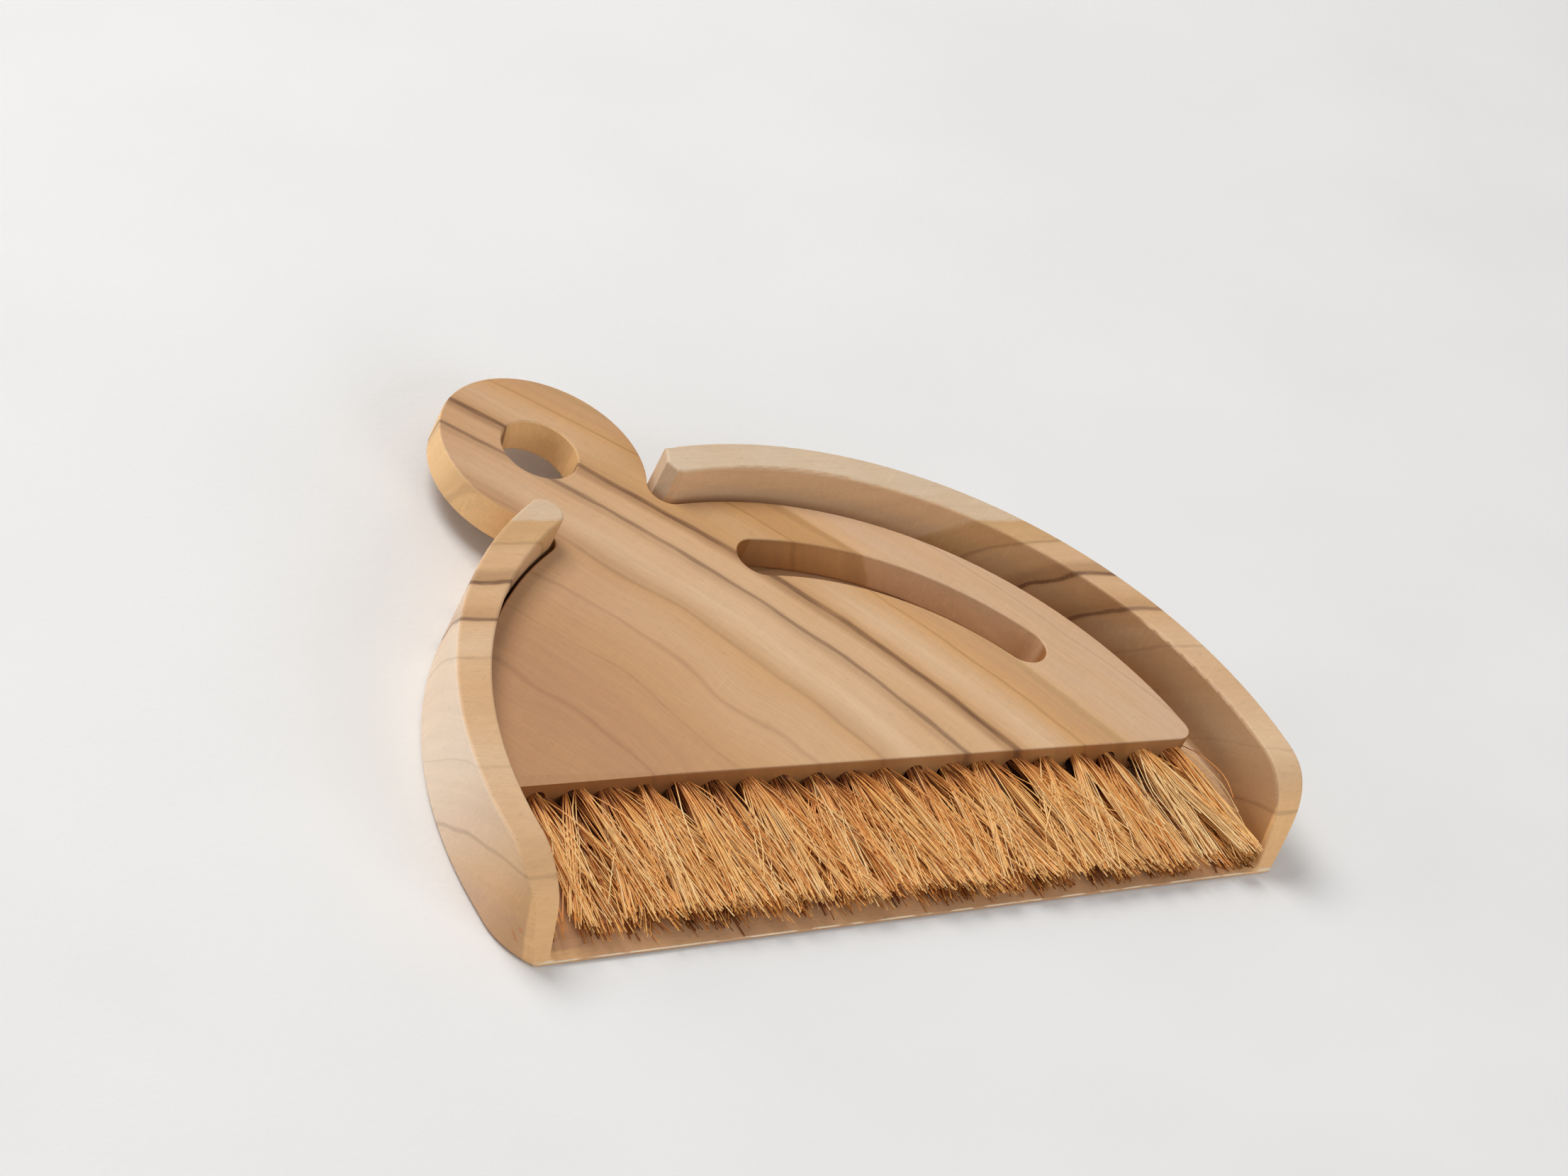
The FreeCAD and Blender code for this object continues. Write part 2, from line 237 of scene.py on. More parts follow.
def streaks(graph, grained, lines, fibre):
    """How dark the board's streaks are at a point, from 0 to 1.

    lines is a list of (distance across, half width, darkness). Each streak fades in and out along the
    board, and is made of darker and lighter fibres.
    """
    ring = grained[0]
    shares = []
    for middle, half, darkness in lines:
        off = graph.math("ABSOLUTE", graph.math("SUBTRACT", ring, middle))
        shares.append(graph.between(off, STREAK_CORE * half, half, darkness, 0.0))
    fade = graph.noise(grained, STREAK_FADE_SIZE, 2.0)
    fade = graph.between(fade, *STREAK_FADE_NOISE, LEAST_STREAK, 1.0)
    broken = graph.between(fibre, *STREAK_FIBRE_NOISE, LEAST_STREAK, 1.0)
    return graph.fold("MULTIPLY", graph.fold("MAXIMUM", *shares), broken, fade)


def sanding_marks(graph, place):
    """Fine marks in two slanting directions, from 0 to 1."""
    x, y, z = place
    marks = []
    for turn in SANDING_TURNS:
        cosine, sine = math.cos(math.radians(turn)), math.sin(math.radians(turn))
        over = graph.math("ADD", graph.math("MULTIPLY", x, cosine), graph.math("MULTIPLY", y, sine))
        down = graph.math("SUBTRACT", graph.math("MULTIPLY", y, cosine), graph.math("MULTIPLY", x, sine))
        mark = graph.noise((over, down, z), SANDING_SIZE, 1.0)
        marks.append(graph.between(mark, *SANDING_NOISE))
    return graph.fold("MAXIMUM", *marks)


def teak(name, grain, bands, lines, tones_and_light):
    """Satin teak, from a board's own grain coordinates in mm and its colours across the grain.

    grain(graph, place) returns how far a point is across the growth rings and along the fibres.
    bands is a list of (distance across, colour) and lines the board's dark streaks.
    tones_and_light(graph, colour, ring, place, normal) returns the colour with what is special to this
    board, painted light and shade among it.
    """
    graph = Graph(name)
    place = graph.place_in_mm()
    normal = graph.split(graph.node("ShaderNodeTexCoord").outputs["Normal"])
    across, along = grain(graph, place)
    straight = (across, along, place[2])

    # Growth rings wander by a millimetre or two along the board.
    slow = graph.noise(straight, SLOW_WANDER_SIZE, 1.0)
    slow = graph.math("MULTIPLY_ADD", slow, 2 * SLOW_WANDER, -SLOW_WANDER)
    quick = graph.noise(straight, QUICK_WANDER_SIZE, 2.0)
    quick = graph.math("MULTIPLY_ADD", quick, 2 * QUICK_WANDER, -QUICK_WANDER)
    ring = graph.math("ADD", across, graph.math("ADD", slow, quick))
    grained = (ring, along, place[2])

    first, last = bands[0][0], bands[-1][0]
    share = graph.math("DIVIDE", graph.math("SUBTRACT", ring, first), last - first)
    colour = graph.ramp(share, [((middle - first) / (last - first), tint) for middle, tint in bands])

    # Broad patches of a yellower tan.
    patch = graph.noise(grained, PATCH_SIZE, 3.0)
    colour = graph.mix(graph.between(patch, *PATCH_NOISE, 0.0, MOST_PATCH), colour, YELLOW_TAN)
    colour = tones_and_light(graph, colour, ring, place, normal)

    # Dark streaks, and then fine growth lines, fibres, the short dark dashes of pores and sanding marks.
    fibre = graph.noise(grained, FIBRE_SIZE, 2.0, 0.6)
    colour = graph.mix(streaks(graph, grained, lines, fibre), colour, STREAK_BROWN)
    growth = graph.noise(grained, GROWTH_SIZE, 3.0, 0.6)
    pore = graph.between(graph.noise(grained, PORE_SIZE, 1.0), *PORE_NOISE)
    marks = sanding_marks(graph, place)
    shade = graph.fold(
        "MULTIPLY",
        graph.between(growth, *NOISE_SPAN, *GROWTH_SHADE),
        graph.between(fibre, *FIBRE_NOISE, *FIBRE_SHADE),
        graph.math("MULTIPLY_ADD", pore, -PORE_DARK, 1.0),
        graph.math("MULTIPLY_ADD", marks, SANDING_LIGHT, 1.0),
    )
    colour = graph.scale_colour(colour, shade)

    roughness = graph.between(fibre, *WIDE_NOISE_SPAN, *TEAK_ROUGHNESS)
    roughness = graph.math("ADD", roughness, graph.math("MULTIPLY", pore, PORE_ROUGHNESS))
    pits = graph.math("MULTIPLY", pore, PORE_RELIEF)
    height = graph.math("SUBTRACT", graph.math("MULTIPLY", fibre, FIBRE_RELIEF), pits)
    height = graph.math("SUBTRACT", height, graph.math("MULTIPLY", marks, SANDING_RELIEF))
    return graph.surface(colour, roughness, height, RELIEF_DEPTH * MM, IOR=TEAK_IOR)


def upright(graph, normal):
    """1 on a board's upright faces, and 0 on its level ones."""
    return graph.between(graph.math("ABSOLUTE", normal[2]), *UPRIGHT, 1.0, 0.0)


# The dustpan's board was cut well above the tree's heart: its rings are arcs about this line, which
# runs along X and slants a little.
HEART_Y = -106.3
HEART_Z = -50.0
HEART_SLANT = 0.085

# The browner first bands lie at the lip, where the tray runs under the bristles: painted shade for the
# bristles' shadow.
PAN_BANDS = [
    (55.0, BROWN), (60.0, BROWN), (66.0, GOLD), (78.0, TAN), (90.0, SAP), (104.0, TAN), (116.0, SAP),
    (122.0, TAN), (124.0, HONEY), (131.0, TAN), (134.0, HONEY), (138.0, TAN), (142.0, TAN),
    (144.0, OLIVE), (150.0, OLIVE), (150.8, SAPWOOD), (176.0, SAPWOOD),
]
PAN_STREAKS = [
    (73.6, 0.9, 0.28), (89.0, 0.4, 0.15), (112.6, 0.5, 0.2), (122.9, 1.0, 0.8), (133.2, 1.1, 0.85),
    (134.5, 3.0, 0.3), (124.0, 3.0, 0.2), (143.4, 0.6, 0.3),
]

# Here each pair is the two ends of a gradual change: along x, y or z, across the rings, or as a face
# turns.
# The left end's painted highlight is strongest at its outside and towards the rear.
LEFT_END_X = (-116.0, -60.0)
LEFT_END_Y = (-90.0, -30.0)
LEFT_END_PAINTED_LIGHT = 0.5
# The tray's middle is at this y. A wall that faces it squarely from this far away counts as 1.
TRAY_MIDDLE_Y = -60.0
RIM_REACH = 100.0
# How squarely an inner wall faces the tray's middle, and the rings where the sapwood starts, over which
# inner walls take a painted warm bounce.
INWARD = (0.35, 0.85)
SAPWOOD_RINGS = (149.0, 152.0)
WALL_BOUNCE_SHARE = 0.7
# The rim's front ends with their painted golden glow: how far forward they face, and where they are.
FORWARD = (-0.9, -0.4)
END_GOLD_Y = (-78.0, -62.0)
END_GOLD_X = (92.0, 109.0)
END_GOLD_SHARE = 0.8
# On the walls the painted glow reaches back to this y at the foot and further back higher up, to a soft
# edge.
END_GOLD_FOOT = -86.1
END_GOLD_SLOPE = 0.23
END_GOLD_EDGE = (-0.6, 0.4)
# The middle of each of the two tears in the left wall's grain, as y and z, and its half length.
TEARS = ((-82.6, 5.3, 2.2), (-83.3, 7.8, 1.0))
TEAR_HALF_WIDTH = 0.4
TEAR_SHARE = 0.8
# A tear fades out between these, where 0 is its middle and 1 its edge.
TEAR_FADE = (0.2, 1.0)
LEFT_WALL_X = (-112.0, -108.0)
# The worn edge of the lip, pale partly from wear and partly as a painted highlight: how far behind the lip,
# how high, and the size and noise of its patches.
WEAR_BEHIND = (0.05, 0.25)
WEAR_HIGH = (0.45, 0.6)
WEAR_SIZE = (7, 2, 2)
WEAR_NOISE = (0.4, 0.55)


def pan_grain(graph, place):
    x, y, z = place
    back = graph.math("SUBTRACT", graph.math("MULTIPLY_ADD", x, HEART_SLANT, y), HEART_Y)
    up = graph.math("SUBTRACT", z, HEART_Z)
    squares = graph.math("ADD", graph.math("POWER", back, 2.0), graph.math("POWER", up, 2.0))
    return graph.math("SQRT", squares), x


def pan_walls(graph, colour, ring, place, normal):
    """The left end's upright faces get a painted highlight. Inside, side walls get painted shade, and walls
    in the sapwood a painted warm bounce.
    """
    x, y, _ = place
    # Painted highlight: the left end's upright faces are made paler, as if lit by the bright light from the
    # left.
    left = graph.between(x, *LEFT_END_X, LEFT_END_PAINTED_LIGHT, 0.0)
    pale = graph.fold("MULTIPLY", left, graph.between(y, *LEFT_END_Y), upright(graph, normal))
    colour = graph.mix(pale, colour, PAINTED_LIGHT_CREAM)

    # How squarely a face turns to the tray's middle: sideways, and in all.
    sideways = graph.fold("MULTIPLY", normal[0], x, -1 / RIM_REACH)
    # Painted shade on the inner side walls.
    colour = graph.mix(graph.between(sideways, *INWARD), colour, PAN_INNER_PAINTED_SHADE, "MULTIPLY")
    ahead = graph.math("MULTIPLY", graph.math("SUBTRACT", y, TRAY_MIDDLE_Y), -1 / RIM_REACH)
    inward = graph.between(graph.math("MULTIPLY_ADD", normal[1], ahead, sideways), *INWARD)
    sapwood = graph.between(ring, *SAPWOOD_RINGS, 0.0, WALL_BOUNCE_SHARE)
    # Painted warm bounce light from the brush on inner walls in the sapwood.
    return graph.mix(graph.math("MULTIPLY", inward, sapwood), colour, WALL_PAINTED_BOUNCE)


def rim_ends(graph, colour, place, normal):
    """The rim's front ends, where they face forward, get a painted golden glow of bounced light, which
    reaches a little round their edges.
    """
    x, y, z = place
    facing_front = graph.between(normal[1], *FORWARD, END_GOLD_SHARE, 0.0)
    edge = graph.math("MULTIPLY_ADD", z, END_GOLD_SLOPE, END_GOLD_FOOT)
    past_edge = graph.between(graph.math("SUBTRACT", y, edge), *END_GOLD_EDGE, END_GOLD_SHARE, 0.0)
    front = graph.between(y, *END_GOLD_Y, 1.0, 0.0)
    outer = graph.between(graph.math("ABSOLUTE", x), *END_GOLD_X)
    golden = graph.fold("MULTIPLY", graph.math("MAXIMUM", facing_front, past_edge), front, outer)
    return graph.mix(golden, colour, END_PAINTED_GLOW)


def wall_tears(graph, colour, place):
    """Two small tears in the grain of the left wall, near the front, that slant up and back."""
    x, y, z = place
    left = graph.between(x, *LEFT_WALL_X, 1.0, 0.0)
    for tear_y, tear_z, half_length in TEARS:
        back = graph.math("SUBTRACT", y, tear_y)
        up = graph.math("SUBTRACT", z, tear_z)
        along = graph.math("DIVIDE", graph.math("ADD", back, up), half_length * math.sqrt(2))
        across = graph.math("DIVIDE", graph.math("SUBTRACT", back, up), TEAR_HALF_WIDTH * math.sqrt(2))
        off = graph.math("ADD", graph.math("POWER", along, 2.0), graph.math("POWER", across, 2.0))
        tear = graph.math("MULTIPLY", graph.between(off, *TEAR_FADE, TEAR_SHARE, 0.0), left)
        colour = graph.mix(tear, colour, TEAR_BROWN)
    return colour


def lip_wear_and_highlight(graph, colour, place):
    """The front edge of the lip is pale in places: partly rubbed, partly a painted highlight along its top
    edge.
    """
    _, y, z = place
    behind = graph.math("SUBTRACT", y, cad_low.y * MM_PER_M)
    front = graph.between(behind, *WEAR_BEHIND, 1.0, 0.0)
    high = graph.between(z, *WEAR_HIGH)
    rubbed = graph.between(graph.noise(place, WEAR_SIZE, 2.0), *WEAR_NOISE)
    return graph.mix(graph.fold("MULTIPLY", front, high, rubbed), colour, WORN_AND_HIGHLIGHT)


def pan_marks_and_light(graph, colour, ring, place, normal):
    colour = pan_walls(graph, colour, ring, place, normal)
    colour = rim_ends(graph, colour, place, normal)
    colour = wall_tears(graph, colour, place)
    return lip_wear_and_highlight(graph, colour, place)


# The brush's grain curves: its streaks run back and to the left, more steeply near the bristles. The
# main streak passes near this point.
STREAK_X = 6.0
STREAK_Y = 11.65
STREAK_Z = 16.7
STREAK_SLOPE = 0.733
STREAK_BEND = 0.00217
STREAK_TILT = 0.35
# The direction of the fibres.
FIBRES_X = -0.59
FIBRES_Y = 0.81
# How far the wavy figure on the left swings, its size, and the rings where it fades into the streaks.
SWIRL = 22.0
SWIRL_SIZE = (48, 34, 50)
SWIRL_RINGS = (-62.0, -24.0)

BRUSH_BANDS = [
    (-130.0, BROWN), (-96.0, BROWN), (-80.0, HONEY), (-62.0, TAN), (-48.0, TAN), (-42.0, HONEY),
    (-30.0, SAP), (-18.0, TAN), (-6.0, TAN), (0.0, GOLD), (4.0, TAN), (10.0, SAP), (16.0, TAN),
    (20.0, GOLD), (27.0, BROWN), (33.6, OLIVE), (34.4, TAN), (42.0, PINK_TAN), (58.0, PINK_TAN),
    (90.0, HONEY), (130.0, SAP),
]
BRUSH_STREAKS = [
    (-108.0, 1.2, 0.2), (-84.0, 1.2, 0.15), (-62.0, 1.6, 0.2), (-40.5, 1.6, 0.25), (-38.0, 5.0, 0.1),
    (-15.4, 1.8, 0.66), (-16.6, 4.0, 0.22), (-0.6, 2.5, 0.86), (-1.8, 4.6, 0.42), (1.5, 3.0, 0.15),
    (20.6, 1.0, 0.25), (32.0, 2.4, 0.12), (58.0, 0.9, 0.15), (76.0, 1.2, 0.2),
]
# The left of the block is browner, from its edge to the middle: partly the wood's own colour, partly painted
# shade where the left rim shades it.
LEFT_BROWN_X = (-100.0, 5.0)
LEFT_BROWN_SHARE = 0.65
# The wood near the neck is golden between these rings, with a soft edge and a hard one. The gold grows
# over the first stretch of y, and over the second it fades to a smaller share in the head.
NECK_RINGS = (-1.0, 34.4)
NECK_SOFT_EDGE = 6.0
NECK_HARD_EDGE = 0.8
NECK_FRONT_Y = (-12.0, 25.0)
NECK_GOLD_SHARE = 0.65
NECK_BACK_Y = (50.0, 72.0)
NECK_BACK_SHARE = 0.25
# The head starts here.
HEAD_Y = (30.0, 45.0)
# The head's upright sides take this share of painted glow.
HEAD_GLOW_SHARE = 0.8
# How squarely a face cuts across the fibres when it shows end grain.
ACROSS_FIBRES = (0.5, 0.85)


def brush_grain(graph, place):
    x, y, z = place
    back = graph.math("SUBTRACT", y, STREAK_Y)
    bend = graph.math("MULTIPLY", graph.math("POWER", back, 2.0), STREAK_BEND)
    bend = graph.math("MULTIPLY_ADD", back, STREAK_SLOPE, bend)
    across = graph.math("ADD", graph.math("SUBTRACT", x, STREAK_X), bend)
    across = graph.math("SUBTRACT", across, STREAK_Z * STREAK_TILT)
    across = graph.math("MULTIPLY_ADD", z, STREAK_TILT, across)
    # The figure on the left is wavier than the straight streaks in the middle.
    swirl = graph.math("MULTIPLY_ADD", graph.noise(place, SWIRL_SIZE, 1.0), SWIRL, -SWIRL / 2)
    swirl = graph.math("MULTIPLY", swirl, graph.between(across, *SWIRL_RINGS, 1.0, 0.0))
    along = graph.math("ADD", graph.math("MULTIPLY", y, FIBRES_Y), graph.math("MULTIPLY", x, FIBRES_X))
    return graph.math("ADD", across, swirl), along


def brush_tones_and_light(graph, colour, ring, place, normal):
    """The block is browner on its left, partly as painted shade, golden near the neck, with a painted glow
    on the head's sides, and darker on its end faces from end grain and painted shade.
    """
    x, y, _ = place
    # Partly painted shade, where the left rim shades the block.
    colour = graph.mix(graph.between(x, *LEFT_BROWN_X, LEFT_BROWN_SHARE, 0.0), colour, LEFT_BROWN_AND_SHADE)

    first, last = NECK_RINGS
    golden = graph.fold(
        "MULTIPLY",
        graph.between(ring, first, first + NECK_SOFT_EDGE),
        graph.between(ring, last - NECK_HARD_EDGE, last, 1.0, 0.0),
        graph.between(y, *NECK_FRONT_Y, 0.0, NECK_GOLD_SHARE),
        graph.between(y, *NECK_BACK_Y, 1.0, NECK_BACK_SHARE),
    )
    colour = graph.mix(golden, colour, NECK_GOLD)

    head = graph.between(y, *HEAD_Y)
    # Painted glow on the head's upright sides, the hole's wall among them.
    head_glow = graph.math("MULTIPLY", upright(graph, normal), graph.math("MULTIPLY", head, HEAD_GLOW_SHARE))
    colour = graph.mix(head_glow, colour, HEAD_PAINTED_GLOW)

    # The faces that cut across the fibres, apart from the head's, are darker: partly end grain, partly
    # painted shade on the front face above the bristles.
    ahead = graph.math("MULTIPLY_ADD", normal[0], FIBRES_X, graph.math("MULTIPLY", normal[1], FIBRES_Y))
    cut = graph.between(graph.math("ABSOLUTE", ahead), *ACROSS_FIBRES)
    cut = graph.math("MULTIPLY", cut, graph.math("SUBTRACT", 1.0, head))
    return graph.mix(cut, colour, BLOCK_END_GRAIN_AND_SHADE, "MULTIPLY")


# Coir and wire

COIR_TONES = [
    (0.0, (78, 34, 10)), (0.25, (166, 92, 34)), (0.5, (240, 164, 84)),
    (0.75, (255, 202, 124)), (1.0, (255, 222, 164)),
]
FLECK_SIZE = (1.5, 4.0, 1.5)
FLECK_SHARE = 0.3
COIR_SIZE = (0.1, 0.8, 0.1)
COIR_DEPTH = 0.01
COIR_ROUGHNESS = (0.3, 0.45)
COIR_IOR = 1.5
WIRE_TONES = [(0.2, (150, 150, 152)), (0.8, (196, 196, 198))]
WIRE_SIZE = (0.1, 2.0, 0.1)
WIRE_DEPTH = 0.005
WIRE_ROUGHNESS = (0.25, 0.4)


def coir():
    """Coir fibre. The mesh's tone attribute gives each fibre its own shade, from dark to light, with painted
    light and painted shade in it.
    """
    graph = Graph("coir_fibre")
    tone = graph.node("ShaderNodeAttribute", attribute_name="tone").outputs["Fac"]
    place = graph.place_in_mm()
    fleck = graph.math("MULTIPLY_ADD", graph.noise(place, FLECK_SIZE, 2.0), FLECK_SHARE, -FLECK_SHARE / 2)
    colour = graph.ramp(graph.math("ADD", tone, fleck), COIR_TONES)
    fine = graph.noise(place, COIR_SIZE, 1.0)
    roughness = graph.between(fine, *NOISE_SPAN, *COIR_ROUGHNESS)
    return graph.surface(colour, roughness, fine, COIR_DEPTH * MM, IOR=COIR_IOR)


def wire():
    """Drawn steel wire, with fine lines along it."""
    graph = Graph("drawn_wire")
    drawn = graph.noise(graph.place_in_mm(), WIRE_SIZE, 1.0)
    colour = graph.ramp(drawn, WIRE_TONES)
    roughness = graph.between(drawn, *WIDE_NOISE_SPAN, *WIRE_ROUGHNESS)
    return graph.surface(colour, roughness, drawn, WIRE_DEPTH * MM, Metallic=1.0)


def paint(node_name, material):
    """Gives a CAD node this material on every slot."""
    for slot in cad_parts[node_name].material_slots:
        slot.material = material


paint("dustpan", teak("pan_teak", pan_grain, PAN_BANDS, PAN_STREAKS, pan_marks_and_light))
paint("brush_block", teak("brush_teak", brush_grain, BRUSH_BANDS, BRUSH_STREAKS, brush_tones_and_light))
paint("tuft_staples", wire())


# The tufts. Lengths are in mm and angles in degrees.

TUFTS = 20
# A tuft's fibres gather in locks. Some are strays, and a few of those rise out of the bristles.
FIBRES = 200
LOCKS = 14
STRAY_SHARE = 0.12
WILD_SHARE = 0.12
FIBRE_RADII = (0.1, 0.18)
# A fibre is a tube with this many rings and sides.
RINGS = 9
SIDES = 5

# Tone runs from 0, dark, to 1, pale. Locks high in a tuft get painted light, and locks low in it painted
# shade.
TONE = 0.68
STRAY_TONE = 0.74
TONE_SPREAD = 0.13
LOCK_TONE_SPREAD = 0.1
HIGH_PAINTED_LIGHT = 0.2
LOW_SHADE = 0.38
# Fibres get painted shade at their roots, by this much, up to this share of their length.
ROOT_SHADE = 0.55
ROOT_SHARE = 1 / 2.6

# The row of tufts faces this way: the brush lies a little turned in the pan.
BRUSH_TURN = math.radians(-2.3)
ROW_FORWARD = Vector((math.sin(BRUSH_TURN), -math.cos(BRUSH_TURN), 0))
ROW_SIDE = Vector((-ROW_FORWARD.y, ROW_FORWARD.x, 0))
HOLE_DEPTH = 12.0
HOLE_RADIUS = 2.5
# Fibres start this far inside the hole.
ROOT_DEPTH = 2
# How far a fibre strays from its lock's place in the hole, as a share of the hole's radius.
LOCK_SPREAD = 0.15

# Most tufts lean a little to the right, and the last ones at the right are splayed.
LEAN = 5
LEAN_SPREAD = 4.5
SPLAY = {19: 4.0, 20: 13.0}
# How far locks fan out from a tuft: by their place in it, and by chance. Then each fibre.
FAN = 20.0
LOOSE_LOCK = 6.0
LOOSE_FIBRE = 1.9
LOOSE_STRAY = 13.0
MOST_TURN = math.radians(52)

# Differences in length: by chance, the most that low fibres gain, and the most that strays lose.
LENGTH_SPREAD = 0.04
LOW_GAIN = 4
STRAY_LOSS = 0.4
# The rim and a small gap, at each side of the bristles, and how far tips are scattered before it.
SIDE_WIDTH = 12.2
SIDE_SCATTER = 6
# Tips fill the cut end's height and a little more. Strays end higher, and wild ones higher still.
TIP_FILL = 1.3
TIP_SPREAD = 0.6
STRAY_RISE = 3.5
WILD_RISE = (2, 6)
# How far fibres bow sideways and up, how far they wave, and how often.
BOW = 0.7
STRAY_BOW = 2.2
LIFT = 0.5
WAVE = 0.3
WAVES_ALONG = (0.5, 1.5)
# The outer fibres swell a little just outside the hole before they droop.
SWELL = 0.9
SWELL_SHARE = 1 / 2.2

# The tray's front, from the lip backwards: distance behind the lip and height.
TRAY_PROFILE = ((0.0, 0.9), (5.0, 2.2), (28.0, 6.2), (60.0, 6.2))
# Fibres stay this far above the tray.
TRAY_GAP = 0.3
# How much of each end of a CAD tuft is measured to find that end.
DEEP_SLICE = 0.5
TIP_SLICE = 0.8


def tray_height(y):
    """The height of the tray's surface at this y, under the bristles."""
    behind = (y - cad_low.y) / MM
    for (near, low), (far, high) in zip(TRAY_PROFILE, TRAY_PROFILE[1:]):
        if behind <= far:
            return (low + (high - low) * max(0.0, behind - near) / (far - near)) * MM
    return TRAY_PROFILE[-1][1] * MM


def middle_and_half(points):
    """The middle of some points' box, and half its size."""
    low = Vector([min(point[i] for point in points) for i in range(3)])
    high = Vector([max(point[i] for point in points) for i in range(3)])
    return (low + high) / 2, (high - low) / 2


def tuft_ends(node):
    """The middle of a CAD tuft's deep end, and of its cut end with that end's half size."""
    points = [vertex.co for vertex in node.data.vertices]
    back = max(point.y for point in points)
    front = min(point.y for point in points)
    deep, _ = middle_and_half([point for point in points if point.y > back - DEEP_SLICE * MM])
    tip, half = middle_and_half([point for point in points if point.y < front + TIP_SLICE * MM])
    return deep, tip, half


def tuft_locks(draw):
    """Each lock's place in a round hole, from -1 to 1 over and up, its turn in degrees, and its tone."""
    locks = []
    for _ in range(LOCKS):
        distance = math.sqrt(draw.random())
        angle = draw.uniform(0, 2 * math.pi)
        over, up = distance * math.cos(angle), distance * math.sin(angle)
        # Painted light on locks high in the tuft, painted shade on low ones.
        tone = up * (HIGH_PAINTED_LIGHT if up > 0 else LOW_SHADE) + draw.gauss(0, LOCK_TONE_SPREAD)
        locks.append((over, up, over * FAN + draw.gauss(0, LOOSE_LOCK), tone))
    return locks


def fibre_ends(draw, ends, lock, tuft_turn, stray):
    """Where one fibre starts in its hole and where its cut tip is, and how high it is in the tuft."""
    deep, tip, half = ends
    mouth = deep + ROW_FORWARD * HOLE_DEPTH * MM
    reach = (tip - mouth).dot(ROW_FORWARD)
    lean = math.atan((tip - mouth).dot(ROW_SIDE) / reach)

    over = max(-1.0, min(1.0, lock[0] + draw.gauss(0, LOCK_SPREAD)))
    up = max(-1.0, min(1.0, lock[1] + draw.gauss(0, LOCK_SPREAD)))
    start = mouth - ROW_FORWARD * ROOT_DEPTH * MM + ROW_SIDE * over * HOLE_RADIUS * MM
    start.z += up * HOLE_RADIUS * MM

    # The brush is trimmed along a line, so a fibre that slants far is also longer.
    turn = lock[2] + draw.gauss(0, LOOSE_STRAY if stray else LOOSE_FIBRE)
    turn = max(-MOST_TURN, min(MOST_TURN, lean + tuft_turn + math.radians(turn)))
    length = reach * (1 + draw.gauss(0, LENGTH_SPREAD)) + ROOT_DEPTH * MM
    if up < 0:
        length += draw.random() ** 3 * LOW_GAIN * MM
    if stray:
        length *= 1 - STRAY_LOSS * draw.random()
    end = start + ROW_FORWARD * length + ROW_SIDE * length * math.tan(turn)
    limit = cad_high.x - SIDE_WIDTH * MM
    if abs(end.x) > limit:
        end.x = math.copysign(limit - draw.random() * SIDE_SCATTER * MM, end.x)
    end.y = max(end.y, cad_low.y + draw.random() * MM)
    end.z = tip.z + up * half.z * TIP_FILL + draw.gauss(0, TIP_SPREAD) * MM
    if stray:
        end.z += draw.random() * STRAY_RISE * MM
        if draw.random() < WILD_SHARE:
            end.z += draw.uniform(*WILD_RISE) * MM
    return start, end, up


def fibre_line(draw, start, end, up, stray):
    """The points along one fibre, which bows and waves between its ends and stays off the tray."""
    swing = draw.gauss(0, STRAY_BOW if stray else BOW) * MM
    lift = draw.gauss(LIFT, LIFT) * MM
    phase = draw.uniform(0, 2 * math.pi)
    waves = draw.uniform(*WAVES_ALONG)
    line = []
    for i in range(RINGS):
        share = i / (RINGS - 1)
        bow = math.sin(math.pi * share)
        wave = math.sin(phase + waves * 2 * math.pi * share)
        point = start.lerp(end, share) + ROW_SIDE * bow * (swing + WAVE * MM * wave)
        swell = math.sin(math.pi * min(1.0, share / SWELL_SHARE)) * (1 - share)
        point.z += lift * bow + SWELL * MM * up * swell
        point.z = max(point.z, tray_height(point.y) + TRAY_GAP * MM)
        line.append(point)
    return line


def tube(line, radius, vertices, faces):
    """Adds a thin closed tube along a line of points."""
    first = len(vertices)
    for i, point in enumerate(line):
        ahead = line[min(i + 1, len(line) - 1)] - line[max(i - 1, 0)]
        side = ahead.cross(Vector((0, 0, 1))).normalized()
        up = side.cross(ahead).normalized()
        for corner in range(SIDES):
            turn = 2 * math.pi * corner / SIDES
            vertices.append(point + (side * math.cos(turn) + up * math.sin(turn)) * radius)
    for i in range(len(line) - 1):
        ring = first + i * SIDES
        for corner in range(SIDES):
            here, beside = ring + corner, ring + (corner + 1) % SIDES
            faces.append((here, beside, beside + SIDES, here + SIDES))
    last = first + (len(line) - 1) * SIDES
    faces.append(tuple(range(first, first + SIDES)))
    faces.append(tuple(range(last + SIDES - 1, last - 1, -1)))


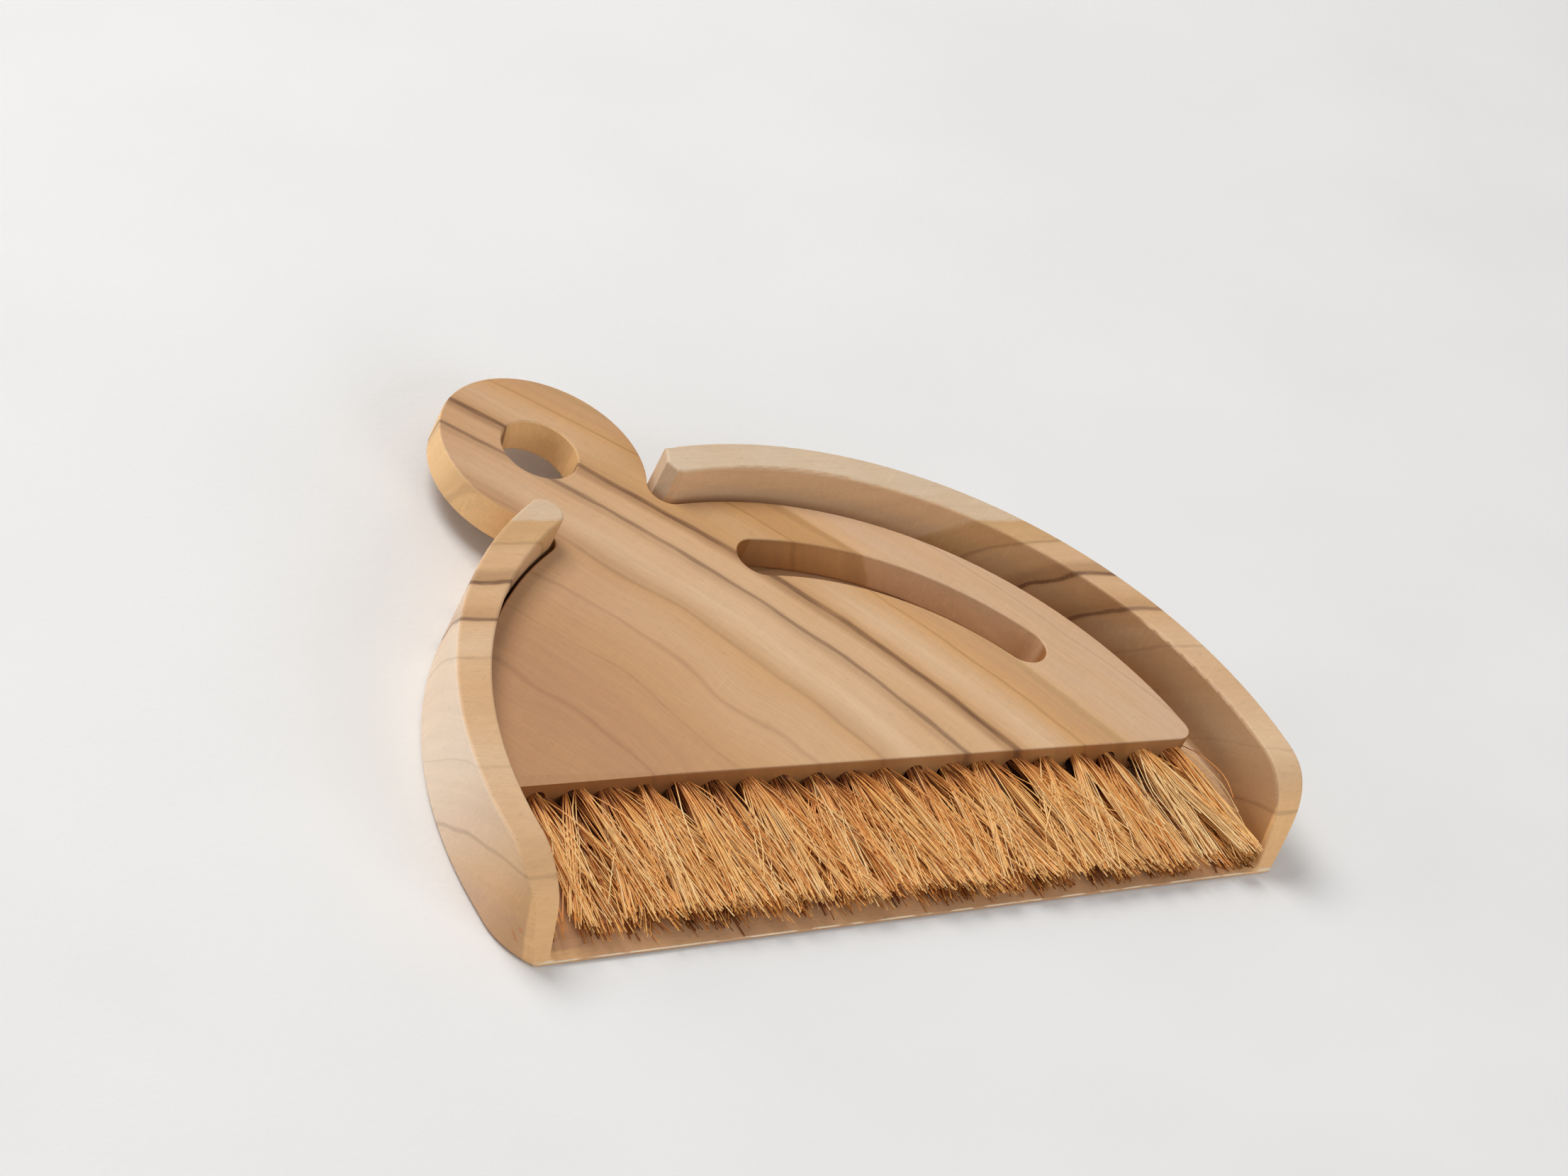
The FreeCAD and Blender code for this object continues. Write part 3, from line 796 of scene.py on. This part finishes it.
def make_tuft(number, material):
    """A tuft of loose fibres in the place of one CAD tuft."""
    name = "tuft_%02d" % number
    draw = random.Random(number)
    ends = tuft_ends(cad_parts[name])
    locks = tuft_locks(draw)
    tuft_turn = math.radians(draw.gauss(LEAN, LEAN_SPREAD) + SPLAY.get(number, 0.0))
    vertices, faces, tones = [], [], []
    for _ in range(FIBRES):
        stray = draw.random() < STRAY_SHARE
        lock = draw.choice(locks)
        start, end, up = fibre_ends(draw, ends, lock, tuft_turn, stray)
        line = fibre_line(draw, start, end, up, stray)
        tube(line, draw.uniform(*FIBRE_RADII) * MM, vertices, faces)
        tone = draw.gauss(STRAY_TONE if stray else TONE, TONE_SPREAD) + lock[3]
        for i in range(RINGS):
            # Painted shade towards the root, where the block shades the fibres.
            root = max(0.0, 1 - i / (RINGS - 1) / ROOT_SHARE)
            tones += [tone - ROOT_SHADE * root] * SIDES
    mesh = bpy.data.meshes.new(name + "_fibres")
    mesh.from_pydata(vertices, [], faces)
    mesh.attributes.new("tone", "FLOAT", "POINT").data.foreach_set("value", tones)
    mesh.materials.append(material)
    mesh.shade_smooth()
    piece = bpy.data.objects.new(name + "_fibres", mesh)
    bpy.context.collection.objects.link(piece)
    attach(piece, "brush")
    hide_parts(name)


fibre_material = coir()
for tuft_number in range(1, TUFTS + 1):
    make_tuft(tuft_number, fibre_material)


# The floor, the lights and the camera. Places are in metres, and the floor's texture in mm.

FLOOR_RADIUS = 1.6
# The floor is this far below the pan, in mm, so that the two faces don't flicker.
FLOOR_DROP = 0.3
FLOOR_TONES = [(0.3, (233, 233, 233)), (0.7, (236, 236, 236))]
BROAD_SIZE = (90, 60, 1)
GRIT_SIZE = (2.5, 1.6, 1)
GRIT_DEPTH = 0.1
FLOOR_ROUGHNESS = (0.7, 0.8)

# The strength of the light from all around, and how bright the backdrop looks.
AMBIENT = 0.36
BACKDROP = 0.85
STUDIO_WHITE = (250, 250, 250)
WHITE = (255, 255, 255)
WARM_WHITE = (255, 253, 250)

# The camera's sensor and lens in mm, its place, its turns in degrees, and how far it sees.
SENSOR_WIDTH = 36.0
LENS = 125.56
CAMERA_PLACE = (-0.80201, -0.74167, 0.84142)
CAMERA_TURNS = (49.698, -22.137, -29.419)
CAMERA_SIGHT = 50.0


def make_floor():
    """A pale matt floor with a faint plaster texture."""
    bpy.ops.mesh.primitive_circle_add(
        vertices=96, radius=FLOOR_RADIUS, fill_type="NGON", location=(0, 0, -FLOOR_DROP * MM)
    )
    floor = bpy.context.object
    floor.name = "floor"
    graph = Graph("pale_floor")
    place = graph.place_in_mm()
    broad = graph.noise(place, BROAD_SIZE, 3.0)
    grit = graph.noise(place, GRIT_SIZE, 4.0, 0.6)
    roughness = graph.between(broad, *NOISE_SPAN, *FLOOR_ROUGHNESS)
    colour = graph.ramp(broad, FLOOR_TONES)
    floor.data.materials.append(graph.surface(colour, roughness, grit, GRIT_DEPTH * MM))


def make_light(name, place, size, power, tint):
    """A square soft light that faces the object's middle."""
    lamp = bpy.data.lights.new(name, "AREA")
    lamp.shape = "SQUARE"
    lamp.size = size
    lamp.energy = power
    lamp.color = linear(tint)[:3]
    holder = bpy.data.objects.new(name, lamp)
    bpy.context.collection.objects.link(holder)
    holder.location = place
    holder.rotation_euler = (-Vector(place)).to_track_quat("-Z", "Y").to_euler()


def make_world():
    """Soft light from all around, in front of a brighter backdrop."""
    world = bpy.data.worlds.new("studio")
    world.use_nodes = True
    tree = world.node_tree
    background = tree.nodes["Background"]
    background.inputs["Color"].default_value = linear(STUDIO_WHITE)
    seen = tree.nodes.new("ShaderNodeLightPath").outputs["Is Camera Ray"]
    strength = tree.nodes.new("ShaderNodeMath")
    strength.operation = "MULTIPLY_ADD"
    tree.links.new(seen, strength.inputs[0])
    strength.inputs[1].default_value = BACKDROP - AMBIENT
    strength.inputs[2].default_value = AMBIENT
    tree.links.new(strength.outputs[0], background.inputs["Strength"])
    bpy.context.scene.world = world


def make_camera():
    """The view from the left and above, with a long lens and a little roll."""
    lens = bpy.data.cameras.new("camera")
    lens.sensor_width = SENSOR_WIDTH
    lens.lens = LENS
    lens.clip_end = CAMERA_SIGHT
    camera = bpy.data.objects.new("camera", lens)
    bpy.context.collection.objects.link(camera)
    camera.location = CAMERA_PLACE
    camera.rotation_euler = [math.radians(turn) for turn in CAMERA_TURNS]
    bpy.context.scene.camera = camera


make_floor()
make_world()
make_light("key", place=(-0.6, 1.25, 1.75), size=1.1, power=33.0, tint=WARM_WHITE)
make_light("side", place=(-1.8, 1.0, 0.45), size=1.0, power=8.0, tint=WHITE)
make_light("fill", place=(0.5, -1.6, 0.9), size=1.2, power=11.0, tint=WHITE)
make_camera()
bpy.context.scene.view_settings.view_transform = "Standard"
